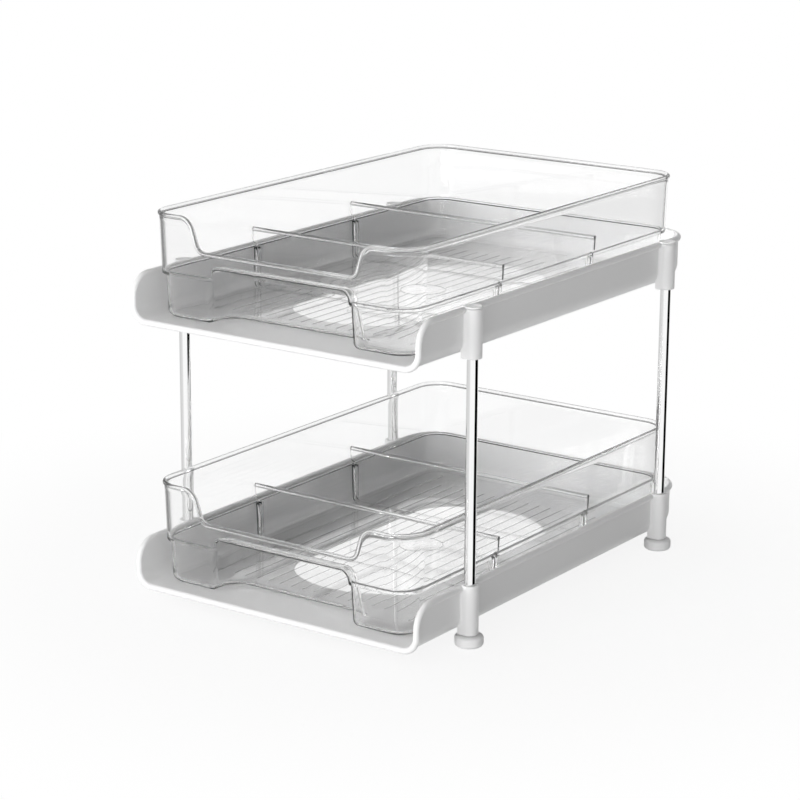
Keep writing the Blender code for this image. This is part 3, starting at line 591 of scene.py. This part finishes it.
steel = polished_steel()
for place, spot in POST_SPOTS.items():
    profile = [
        (POST_INNER, POST_BOTTOM), (POST_OUTER - POST_EASE, POST_BOTTOM), (POST_OUTER, POST_BOTTOM + POST_EASE),
        (POST_OUTER, POST_TOP - POST_EASE), (POST_OUTER - POST_EASE, POST_TOP), (POST_INNER, POST_TOP),
    ]
    post = solid("post_" + place + "_tube", [turned_form(profile, spot, 96, ring=True)])
    post.data.materials.append(steel)
    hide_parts("post_" + place)
    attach(post, "frame")

# The feet are thick round pads of a softer white plastic, each with a plug that is pressed up
# into the sleeve of the lower tray.
FOOT_RADIUS = 10.2 * MM
FOOT_TALL = 8.2 * MM
FOOT_FLAT = 6.9 * MM
FOOT_UPPER_ROUND = 1.9 * MM
FOOT_SHOULDER = 2.1 * MM
FOOT_LOWER_ROUND = 2.6 * MM
PLUG_RADIUS = 3.0 * MM
PLUG_LONG = 3.6 * MM
PLUG_EASE = 0.5 * MM


def plug_line(base, way):
    """Half section of a plug from its tip to its root."""
    tip = base + way * PLUG_LONG
    return [(0, tip), (PLUG_RADIUS - PLUG_EASE, tip), (PLUG_RADIUS, tip - way * PLUG_EASE), (PLUG_RADIUS, base)]


soft_plastic = moulded_plastic("soft_white_plastic", colour=0.84, roughness=0.5, grain=1400.0, relief=0.2)
for place, spot in POST_SPOTS.items():
    profile = plug_line(FOOT_TALL, 1) + [(FOOT_FLAT, FOOT_TALL)]
    centre = (FOOT_RADIUS - FOOT_UPPER_ROUND, FOOT_TALL - FOOT_SHOULDER)
    profile += sweep(centre, FOOT_UPPER_ROUND, 80, 0, 9).tolist()
    centre = (FOOT_RADIUS - FOOT_LOWER_ROUND, FOOT_LOWER_ROUND)
    profile += sweep(centre, FOOT_LOWER_ROUND, 0, -90, 11).tolist() + [(0, 0)]
    foot = solid("foot_" + place + "_pad", [turned_form(profile, spot)])
    foot.data.materials.append(soft_plastic)
    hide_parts("foot_" + place)
    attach(foot, "frame")

# The caps close the upper sleeves level with the rim. They are thin, slightly dished discs of
# the tray's own plastic, with the same kind of plug below.
CAP_RADIUS = 6.6 * MM
CAP_THICK = 1.4 * MM
CAP_EASE = 0.3 * MM
CAP_ROUND = 0.7 * MM
CAP_DISH = 0.6 * MM
CAP_BASE = TRAY_BASES["upper_tray"] + 34.8 * MM
for place, spot in POST_SPOTS.items():
    profile = plug_line(0, -1) + [(CAP_RADIUS - CAP_EASE, 0), (CAP_RADIUS, CAP_EASE)]
    profile += sweep((CAP_RADIUS - CAP_ROUND, CAP_THICK - CAP_ROUND), CAP_ROUND, 0, 90, 8).tolist()
    profile += [(CAP_RADIUS - 1.5 * MM, CAP_THICK - 0.1 * MM), (CAP_RADIUS - 2.2 * MM, CAP_THICK - 0.45 * MM)]
    profile += [(2.0 * MM, CAP_THICK - CAP_DISH), (0, CAP_THICK - CAP_DISH)]
    profile = [(radius, CAP_BASE + height) for radius, height in profile]
    cap = solid("cap_" + place + "_disc", [turned_form(profile, spot)])
    cap.data.materials.append(white_plastic)
    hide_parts("cap_" + place)
    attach(cap, "frame")

# The drawers are moulded in one piece of clear plastic: drafted walls with a step, a rolled bead
# round the rim that dips to a low front lip, a finger recess with rounded edges, ribs that hold
# the dividers, runners below the floor, and fine ribs on it that stop at a plain disc.
DRAWER_BASES = {"lower": 14.5 * MM, "upper": 210.5 * MM}
DRAWER_HALF = 110.5 * MM
DRAWER_FRONT = -176.2 * MM
DRAWER_BACK = 175.1 * MM
DRAWER_CORNER = 19.5 * MM
DRAWER_WALL = 2.0 * MM
DRAWER_ROUND = 5.0 * MM
STEP_HEIGHT = 31.0 * MM
STEP_OUT = 2.9 * MM
STEP_ROUND = 0.8 * MM
STEP_INNER_ROUND = 0.3 * MM
EASE = 0.4 * MM
LOWER_LEVELS = [11 * MM, 17 * MM, 23 * MM, 28 * MM]
NUDGE = 0.05 * MM
RIM_LINE = 73.6 * MM
LIP_LINE = 50.2 * MM
LIP_HALF = 61.0 * MM
LIP_ROUNDS = (8.0 * MM, 11.0 * MM)
LIP_SLOPE = 72
DRAFT = 1.3 * MM
BEAD = 1.7 * MM
BEAD_INSET = 0.6 * MM
BAND_FOOT = 45.0 * MM
RECESS_HALF = 60.25 * MM
RECESS_DRAFT = 1.75 * MM
RECESS_TALL = 39.2 * MM
RECESS_DEEP = 27.0 * MM
RECESS_LEAN = 10.2 * MM
RECESS_BEND = 11.0 * MM
RECESS_ROOF = 6.0 * MM
RECESS_TILT = 0.08 * MM
MOUTH = 4.4 * MM
SLOT_TIP = 102.4 * MM
SLOT_EDGES = (1.3 * MM, 2.9 * MM)
DIVIDER_SPOTS = {"front": -62.7 * MM, "rear": 59.1 * MM}
RUNNER_SIDE = 87.5 * MM
RUNNER_ENDS = (36 * MM, 18 * MM)
RUNNER_HALF = 1.2 * MM
RUNNER_TALL = 0.76 * MM
RIB_COUNT = 15
RIB_PITCH = 10.2 * MM
RIB_END = 42.5 * MM
RIB_HALF = 0.4 * MM
RIB_TALL = 0.26 * MM
RIB_RAISE = 0.02 * MM
DISC_RADIUS = 16.25 * MM


def recess_turn(number, inset):
    """The recess in section. Numbers 0 to 4 turn round its mouth, 5 to 10 round its inner corner.
    Gives how far each number lies inside the recess's side and below its roof, its depth from the
    front face, its reach from the back face, and 0 at the mouth to 1 at the corner."""
    mouth = np.radians(22.5 * np.clip(number, 0, 4))
    bend = np.radians(np.interp(number, [5, 10], [8, 90]))
    round_off = np.maximum(MOUTH - inset, 0.2 * MM)
    centre = inset + round_off
    share = np.clip(number - 4, 0, 1)
    mouth_in = -centre + round_off * np.sin(mouth)
    bend_in = RECESS_BEND - (RECESS_BEND + inset) * np.cos(bend)
    reach = (RECESS_BEND + inset) * np.sin(bend) - RECESS_BEND
    rise = np.clip(reach + RECESS_ROOF, 0, RECESS_ROOF + inset)
    roof_in = RECESS_ROOF - np.sqrt((RECESS_ROOF + inset) ** 2 - rise ** 2) + RECESS_TILT * np.clip(number - 4, 0, 6)
    inside = mouth_in * (1 - share) + bend_in * share
    below = mouth_in * (1 - share) + roof_in * share
    return inside, below, centre - round_off * np.cos(mouth), reach, share


def lip_line():
    """Right half of the front edge in fine steps: the lip, then an S of two arcs up to the rim."""
    slope = math.radians(LIP_SLOPE)
    low, high = LIP_ROUNDS
    straight = (RIM_LINE - LIP_LINE - (low + high) * (1 - math.cos(slope))) / math.sin(slope)
    end = LIP_HALF + (low + high) * math.sin(slope) + straight * math.cos(slope)
    first = sweep((LIP_HALF, LIP_LINE + low), low, -90, LIP_SLOPE - 90, 40)
    second = sweep((end, RIM_LINE - high), high, LIP_SLOPE + 90, 90, 50)
    line = np.concatenate([[(0, LIP_LINE)], first, second, [(DRAWER_HALF, RIM_LINE)]])
    reach = np.concatenate([[0], np.cumsum(np.linalg.norm(np.diff(line, axis=0), axis=1))])
    even = np.linspace(0, reach[-1], 700)
    return np.column_stack([np.interp(even, reach, line[:, axis]) for axis in (0, 1)])


LINE = lip_line()
MIDDLE_SHARES = np.array([0, 0.3, 0.6, 0.85])
RECESS_NUMBERS = np.arange(10, -1, -1.0)
MOUTH_EDGE = RECESS_HALF - RECESS_DRAFT + MOUTH
FRONT_END = DRAWER_HALF - DRAWER_CORNER
swing_x = LINE[::7, 0]
swing_x = swing_x[(swing_x > MOUTH_EDGE + MM) & (swing_x < FRONT_END - 2 * MM)]
OUTER_SHARES = (swing_x - MOUTH_EDGE) / (FRONT_END - MOUTH_EDGE)
FRONT_COUNT = len(MIDDLE_SHARES) + len(RECESS_NUMBERS) + len(OUTER_SHARES)
CORNER_TURN = np.radians(np.linspace(0, 90, 13))
slot_rows = np.concatenate([
    spot + side * (edge + np.array([-NUDGE, NUDGE]))
    for spot in DIVIDER_SPOTS.values() for side in (-1, 1) for edge in SLOT_EDGES
])
side_ends = np.linspace(DRAWER_FRONT + DRAWER_CORNER, DRAWER_BACK - DRAWER_CORNER, 17)
SIDE_Y = np.unique(np.concatenate([slot_rows, side_ends[1:-1]]))
BACK_SHARES = np.linspace(1, 0, 9)[1:]


def whole_ring(front, rest):
    """A whole ring from its right half, counted from the middle of the front to that of the back."""
    half = np.concatenate([front, rest])
    return np.concatenate([half, half[-2:0:-1] * np.array([-1, 1, 1])])


def plan_rest(outset, height):
    """The right half of a plan line after the front: corner, side, corner and half the back."""
    radius = DRAWER_CORNER + outset
    half, back = DRAWER_HALF + outset, DRAWER_BACK + outset
    first = [FRONT_END + radius * np.sin(CORNER_TURN), DRAWER_FRONT + DRAWER_CORNER - radius * np.cos(CORNER_TURN)]
    side = [np.full(len(SIDE_Y), half), SIDE_Y]
    second = [FRONT_END + radius * np.cos(CORNER_TURN), DRAWER_BACK - DRAWER_CORNER + radius * np.sin(CORNER_TURN)]
    rear = [FRONT_END * BACK_SHARES, np.full(len(BACK_SHARES), back)]
    flat = np.concatenate([np.column_stack(run) for run in (first, side, second, rear)])
    return np.column_stack([flat, np.full(len(flat), height)])


def drawer_ring(height, outset, inset, slots=False):
    """One level of a skin. The front runs through the recess: each point takes the smaller of its
    column's and its level's number, which sets its depth, and near the arch's corners the points
    are turned from the mitre onto a round."""
    front = DRAWER_FRONT - outset
    rise = height / RECESS_TALL
    side = RECESS_HALF - RECESS_DRAFT * rise
    back = DRAWER_FRONT + RECESS_DEEP - RECESS_LEAN * rise
    numbers = np.arange(11.0)
    inside, below = recess_turn(numbers, inset)[:2]
    level = np.interp(RECESS_TALL - height, below, numbers)
    x = np.concatenate([
        MIDDLE_SHARES * (side - inside[10]), side - inside[::-1],
        side - inside[0] + OUTER_SHARES * (FRONT_END - side + inside[0]),
    ])
    column = np.concatenate([np.full(len(MIDDLE_SHARES), 10), RECESS_NUMBERS, np.zeros(len(OUTER_SHARES))])
    number = np.minimum(column, level)
    inside, below, depth, reach, share = recess_turn(number, inset)
    y = (front - inset + depth) * (1 - share) + (back + reach) * share
    z = np.full(len(x), height)
    edge_x, edge_z = side - inside, RECESS_TALL - below
    radius = np.clip(RECESS_ROOF - below, 0.05 * MM, None)
    by_side = column <= level
    over = np.where(by_side, z - (edge_z - radius), x - (edge_x - radius)) / radius
    within = (over > 0) & (over <= 1.001) & (np.arange(len(x)) < FRONT_COUNT - len(OUTER_SHARES))
    within &= height <= RECESS_TALL + MOUTH + 0.001 * MM
    angle = np.where(by_side, over, 2 - over) * math.pi / 4
    x = np.where(within, edge_x - radius + radius * np.cos(angle), x)
    z = np.where(within, edge_z - radius + radius * np.sin(angle), z)
    ring = whole_ring(np.column_stack([x, y, z]), plan_rest(outset, height))
    if slots:
        for spot in DIVIDER_SPOTS.values():
            gap = np.abs(ring[:, 1] - spot)
            rib = (gap > SLOT_EDGES[0]) & (gap < SLOT_EDGES[1]) & (np.abs(ring[:, 0]) > SLOT_TIP)
            ring[rib, 0] = np.sign(ring[rib, 0]) * SLOT_TIP
    return ring


def wall_outset(height):
    """How far the outer wall stands out from the outline, with its draft."""
    if height < STEP_HEIGHT:
        return -STEP_OUT - DRAFT * (1 - height / STEP_HEIGHT)
    return DRAFT * (height - STEP_HEIGHT) / (RIM_LINE - STEP_HEIGHT)


def skin_levels(wall):
    """(height, outset, inset) of a skin's levels: lower corner, wall, step and upper wall."""
    radius = DRAWER_ROUND - wall
    start = wall_outset(radius) - wall
    levels = [(wall, start - radius - EASE, wall + radius + EASE)]
    for angle in np.radians(np.linspace(0, 90, 10)):
        inward = radius * (1 - math.sin(angle))
        levels.append((wall + radius * (1 - math.cos(angle)), start - inward, wall + inward))
    ledge = STEP_HEIGHT + wall
    levels += [(height, wall_outset(height) - wall, wall) for height in [DRAWER_ROUND + EASE] + LOWER_LEVELS]
    if wall:
        levels += [(STEP_HEIGHT + nudge, -STEP_OUT - wall, wall) for nudge in (-NUDGE, NUDGE)]
    levels.append((ledge - 0.02 * MM, -STEP_OUT - wall, wall))
    turn = STEP_INNER_ROUND if wall else STEP_ROUND
    for angle in np.radians(np.linspace(-84, 0, 7)):
        height = ledge + turn * (1 + math.sin(angle))
        levels.append((height, wall_outset(height) - wall - turn * (1 - math.cos(angle)), wall))
    roof = RECESS_TALL - recess_turn(np.arange(10, -1, -1.0), wall)[1]
    above = [height for height in roof if height > levels[-1][0] + 0.3 * MM] + [BAND_FOOT]
    return levels + [(height, wall_outset(height) - wall, wall) for height in above]


def rim_frame():
    """The bead's middle line round the whole rim, with the way out from the wall and the way up,
    square to the line in the wall's own plane."""
    tangent = np.gradient(LINE, axis=0)
    x = drawer_ring(BAND_FOOT, wall_outset(BAND_FOOT), 0)[:FRONT_COUNT, 0]
    z = np.interp(x, LINE[:, 0], LINE[:, 1])
    slope = np.column_stack([np.interp(x, LINE[:, 0], tangent[:, axis]) for axis in (0, 1)])
    slope /= np.linalg.norm(slope, axis=1, keepdims=True)
    outset = DRAFT * (z - STEP_HEIGHT) / (RIM_LINE - STEP_HEIGHT)
    line_out = wall_outset(RIM_LINE) - BEAD_INSET
    rest = plan_rest(line_out, RIM_LINE)
    path = whole_ring(np.column_stack([x, DRAWER_FRONT + BEAD_INSET - outset, z]), rest)
    outward = plan_rest(line_out + MM, RIM_LINE) - rest
    outward = whole_ring(np.tile([0.0, -1.0, 0.0], (FRONT_COUNT, 1)), outward / MM)
    outward /= np.linalg.norm(outward, axis=1, keepdims=True)
    up = np.column_stack([-slope[:, 1], np.zeros(FRONT_COUNT), slope[:, 0]])
    return path, outward, whole_ring(up, np.tile([0.0, 0.0, 1.0], (len(rest), 1)))


def drawer_body():
    """The whole drawer as one closed surface: outer skin, upper band, rim bead and inner skin."""
    outer = [drawer_ring(*level) for level in skin_levels(0)]
    inner = [drawer_ring(*level, slots=level[0] < STEP_HEIGHT) for level in skin_levels(DRAWER_WALL)]
    path, outward, up = rim_frame()
    out_angle = -math.acos(BEAD_INSET / BEAD)
    in_angle = math.pi + math.acos((DRAWER_WALL - BEAD_INSET) / BEAD)
    turns = np.linspace(out_angle, in_angle, 22)
    bead = [path + BEAD * (math.cos(turn) * outward + math.sin(turn) * up) for turn in turns]
    shares = (0.3, 0.6, 0.85)
    rise = [outer[-1] + (bead[0] - outer[-1]) * share for share in shares]
    fall = [inner[-1] + (bead[-1] - inner[-1]) * share for share in shares]
    rows = outer + rise + bead + fall[::-1] + inner[::-1]
    columns = len(path)
    last = (len(rows) - 1) * columns
    caps = [list(range(columns)), list(range(last, last + columns))]
    return np.array(rows), grid_faces(len(rows), columns, wrap_columns=True) + caps


def floor_bar(x, start, end, half_width, root, tall):
    """A rounded bar on or below the floor: half an ellipse carried along the drawer."""
    angle = np.linspace(0, math.pi, 9)
    section = np.column_stack([x + half_width * np.cos(angle), root + tall * np.sin(angle)])
    points = np.array([[(px, y, pz) for px, pz in section] for y in (start, end)])
    count = len(section)
    return points, grid_faces(2, count, wrap_columns=True) + [list(range(count)), list(range(count, 2 * count))]


def floor_parts():
    """Two runners below the floor, and fine lengthwise ribs on it that stop at a ring round the
    plain disc in the middle."""
    middle = (DRAWER_FRONT + DRAWER_BACK) / 2
    front, back = DRAWER_FRONT + RUNNER_ENDS[0], DRAWER_BACK - RUNNER_ENDS[1]
    parts = [floor_bar(x, front, back, RUNNER_HALF, -RIB_RAISE, -RUNNER_TALL) for x in (-RUNNER_SIDE, RUNNER_SIDE)]
    root = DRAWER_WALL + RIB_RAISE
    front, back = DRAWER_FRONT + RIB_END, DRAWER_BACK - RIB_END
    for x in (np.arange(RIB_COUNT) - RIB_COUNT // 2) * RIB_PITCH:
        reach = math.sqrt(max(DISC_RADIUS ** 2 - x ** 2, 0))
        runs = [(front, middle - reach), (middle + reach, back)] if reach else [(front, back)]
        parts += [floor_bar(x, start, end, RIB_HALF, root, RIB_TALL) for start, end in runs]
    angle = np.linspace(0, math.pi, 9)
    section = np.column_stack([DISC_RADIUS + RIB_HALF * np.cos(angle), root + RIB_TALL * np.sin(angle)])
    return parts + [turned_form(section, (0, middle), 96, ring=True)]


def clear_moulding():
    """Clear styrene: almost colourless, with faint flow waves in its surface and a slight dimming
    along long ways through it."""
    material = bpy.data.materials.new("clear_styrene")
    material.use_nodes = True
    tree = material.node_tree
    shader = tree.nodes["Principled BSDF"]
    shader.inputs["Transmission Weight"].default_value = 1.0
    shader.inputs["IOR"].default_value = 1.5
    place = node_at(tree, "ShaderNodeTexCoord").outputs["Object"]
    flow = node_at(tree, "ShaderNodeTexNoise")
    flow.inputs["Scale"].default_value = 22.0
    flow.inputs["Detail"].default_value = 1.0
    tree.links.new(place, flow.inputs["Vector"])
    tree.links.new(tinted(tree, flow.outputs["Fac"], 0.985, 1.0), shader.inputs["Base Color"])
    tree.links.new(between(tree, flow.outputs["Fac"], 0.0, 0.03), shader.inputs["Roughness"])
    bump = node_at(tree, "ShaderNodeBump")
    bump.inputs["Strength"].default_value = 0.05
    bump.inputs["Distance"].default_value = 0.001
    tree.links.new(flow.outputs["Fac"], bump.inputs["Height"])
    tree.links.new(bump.outputs["Normal"], shader.inputs["Normal"])
    body = node_at(tree, "ShaderNodeVolumeAbsorption")
    body.inputs["Color"].default_value = (0.9, 0.9, 0.9, 1)
    body.inputs["Density"].default_value = 40.0
    tree.links.new(body.outputs[0], tree.nodes["Material Output"].inputs["Volume"])
    return material


clear_plastic = clear_moulding()
drawer_parts = [drawer_body()] + floor_parts()
for tier, base in DRAWER_BASES.items():
    parts = [(np.asarray(points) + np.array([0, 0, base]), faces) for points, faces in drawer_parts]
    drawer = solid(tier + "_drawer_moulding", parts, 45.0)
    drawer.data.materials.append(clear_plastic)
    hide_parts(tier + "_drawer")
    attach(drawer, tier + "_drawer")

# The dividers are clear plates with a stepped outline that follows the drawer's walls, rounded
# lower corners and a thicker bead along the top. They stand in the slots between the ribs.
PLATE_HALF = 1.0 * MM
PLATE_BEAD = 1.6 * MM
PLATE_TOP = 44.1 * MM
PLATE_BOTTOM = 2.3 * MM
PLATE_CORNER = (97.8 * MM, 8.3 * MM)
PLATE_CORNER_RADIUS = 6.0 * MM
PLATE_SHOULDER = np.array([(105.0, 31.0), (105.01, 33.3), (108.0, 34.7), (108.3, 41.9)]) * MM
PLATE_EASE = 0.25 * MM


def divider_part(spot):
    """A plate: its half section, with the bead on top, carried along the lower outline."""
    corner = sweep(PLATE_CORNER, PLATE_CORNER_RADIUS, -90, 0, 9)
    right = np.concatenate([[(0, PLATE_BOTTOM), (60 * MM, PLATE_BOTTOM)], corner, PLATE_SHOULDER])
    outline = np.concatenate([right[:0:-1] * np.array([-1, 1]), right])
    x, low = outline[:, 0], outline[:, 1]
    turn = math.pi - math.asin(PLATE_HALF / PLATE_BEAD)
    rows = [(-PLATE_HALF + PLATE_EASE, low), (-PLATE_HALF, low + PLATE_EASE)]
    for angle in np.linspace(-turn, turn, 19):
        rows.append((PLATE_BEAD * math.sin(angle), np.full(len(x), PLATE_TOP + PLATE_BEAD * math.cos(angle))))
    rows += [(PLATE_HALF, low + PLATE_EASE), (PLATE_HALF - PLATE_EASE, low)]
    points = np.array([np.column_stack([x, np.full(len(x), spot + y), z]) for y, z in rows])
    count = len(x)
    ends = [[row * count + end for row in range(len(rows))] for end in (0, count - 1)]
    return points, grid_faces(len(rows), count, wrap_rows=True) + ends


for tier, base in DRAWER_BASES.items():
    for place, spot in DIVIDER_SPOTS.items():
        points, faces = divider_part(spot)
        node = tier + "_divider_" + place
        divider = solid(node + "_plate", [(points + np.array([0, 0, base]), faces)], 30.0)
        divider.data.materials.append(clear_plastic)
        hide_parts(node)
        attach(divider, node)
